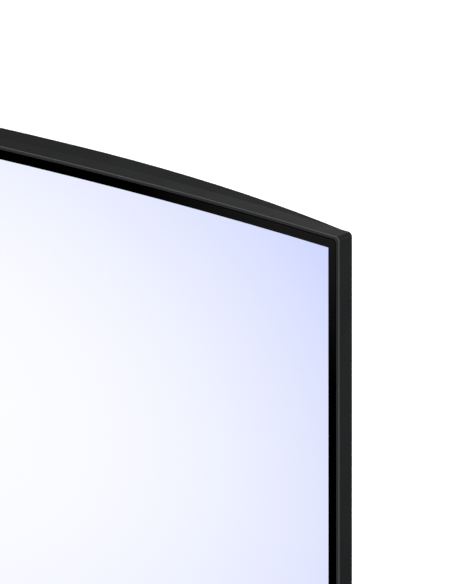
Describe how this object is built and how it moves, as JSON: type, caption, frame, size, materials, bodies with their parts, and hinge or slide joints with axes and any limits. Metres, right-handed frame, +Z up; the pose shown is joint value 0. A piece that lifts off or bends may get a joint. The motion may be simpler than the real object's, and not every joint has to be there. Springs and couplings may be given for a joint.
{
  "type": "computer monitor",
  "caption": "Curved desktop computer monitor with a thin bezel, on a stand that lifts, tilts and swivels, with a quick-release bracket and a rear joystick.",
  "frame": {"origin": "centre of the base's footprint, on the desk plane", "axes": "+Z up, the screen faces -Y, +X to the right of a person who looks at the screen"},
  "size_m": [0.6134, 0.24, 0.4588],
  "materials": {
    "screen_frame": "fine satin black",
    "rear_shell": "fine textured black",
    "inner_plastic": "satin",
    "white_plastic": "satin",
    "screen_glass": "anti-glare, lit, with a black border",
    "clear_acrylic": "polished",
    "diffuser_film": "satin",
    "lens": "frosted",
    "sheet_steel": "zinc plated",
    "steel": "machined",
    "screw_steel": "blackened",
    "spring_steel": "bright",
    "painted_steel": "powder coated",
    "cast_metal": "die cast",
    "circuit_board": "solder mask",
    "flex_film": "amber film",
    "stand_plastic": "satin",
    "rubber": "matte"
  },
  "bodies": {
    "base": {"swivel_washer": "white_plastic", "swivel_ring": "steel", "swivel_hub": "steel", "base_plate": "painted_steel", "base_cover": "stand_plastic", "base_screws": "screw_steel", "rubber_feet": "rubber"},
    "column": {"gas_spring_cylinder": "painted_steel", "lift_rails": "sheet_steel", "column_shell": "stand_plastic", "column_cap": "stand_plastic", "column_foot": "painted_steel", "cable_clip": "stand_plastic"},
    "lift": {"hinge_yoke": "cast_metal", "lift_carriage": "cast_metal", "glide_pads": "white_plastic", "gas_spring_rod": "steel"},
    "head": {"front_frame": "screen_frame", "chin_cover": "screen_frame", "status_led_lens": "lens", "lcd_cell": "screen_glass", "optical_films": "diffuser_film", "light_guide_plate": "clear_acrylic", "reflector_sheet": "white_plastic", "led_bar": "white_plastic", "mold_frame": "inner_plastic", "panel_backplate": "sheet_steel", "source_boards": "circuit_board", "flex_ties": "flex_film", "main_board": "circuit_board", "led_driver_board": "circuit_board", "hdmi_sockets": "sheet_steel", "displayport_socket": "sheet_steel", "audio_socket": "inner_plastic", "dc_power_socket": "inner_plastic", "electronics_shield": "sheet_steel", "ribbon_cable": "white_plastic", "board_screws": "screw_steel", "shield_screws": "screw_steel", "joystick_housing": "inner_plastic", "rear_cover": "rear_shell", "rear_cover_screws": "screw_steel", "vesa_bracket": "sheet_steel", "bracket_screws": "screw_steel", "stand_bracket": "painted_steel", "latch_spring": "spring_steel", "tilt_shaft": "steel", "tilt_nuts": "steel", "friction_washers": "spring_steel", "tilt_springs": "spring_steel", "hinge_caps": "stand_plastic"},
    "latch": {"latch_button": "stand_plastic"},
    "joystick_ring": {"joystick_gimbal": "inner_plastic"},
    "joystick_disc": {"joystick_cradle": "inner_plastic"},
    "joystick_stem": {"joystick_cap": "stand_plastic"},
    "clamp_screw": {"thumbscrew": "steel"},
    "clamp_ring": {"thumbscrew_ring": "steel"}
  },
  "joints": [
    {"name": "swivel", "type": "hinge", "parent": "base", "child": "column", "pos_m": [0, 0.04, 0.0165], "axis": [0, 0, 1], "range_deg": [-30, 30]},
    {"name": "height", "type": "slide", "parent": "column", "child": "lift", "axis": [0, 0, 1], "range_m": [-0.05, 0.05]},
    {"name": "tilt", "type": "hinge", "parent": "lift", "child": "head", "pos_m": [0, 0, 0.268], "axis": [-1, 0, 0], "range_deg": [-5, 20]},
    {"name": "latch_press", "type": "slide", "parent": "head", "child": "latch", "axis": [0, 0, 1], "range_m": [0, 0.0032], "deforming": ["latch_spring"]},
    {"name": "joystick_side", "type": "hinge", "parent": "head", "child": "joystick_ring", "pos_m": [0.205, -0.0616, 0.112], "axis": [0, 0, 1], "range_deg": [-4, 4]},
    {"name": "joystick_updown", "type": "hinge", "parent": "joystick_ring", "child": "joystick_disc", "pos_m": [0.205, -0.0616, 0.112], "axis": [1, 0, 0], "range_deg": [-4, 4]},
    {"name": "joystick_press", "type": "slide", "parent": "joystick_disc", "child": "joystick_stem", "axis": [0, -1, 0], "range_m": [0, 0.0008]},
    {"name": "clamp_turn", "type": "hinge", "parent": "base", "child": "clamp_screw", "pos_m": [0, 0.04, 0.004], "axis": [0, 0, 1], "continuous": true},
    {"name": "clamp_ring_fold", "type": "hinge", "parent": "clamp_screw", "child": "clamp_ring", "pos_m": [0, 0.04, 0.0021], "axis": [1, 0, 0], "range_deg": [0, 90]}
  ]
}
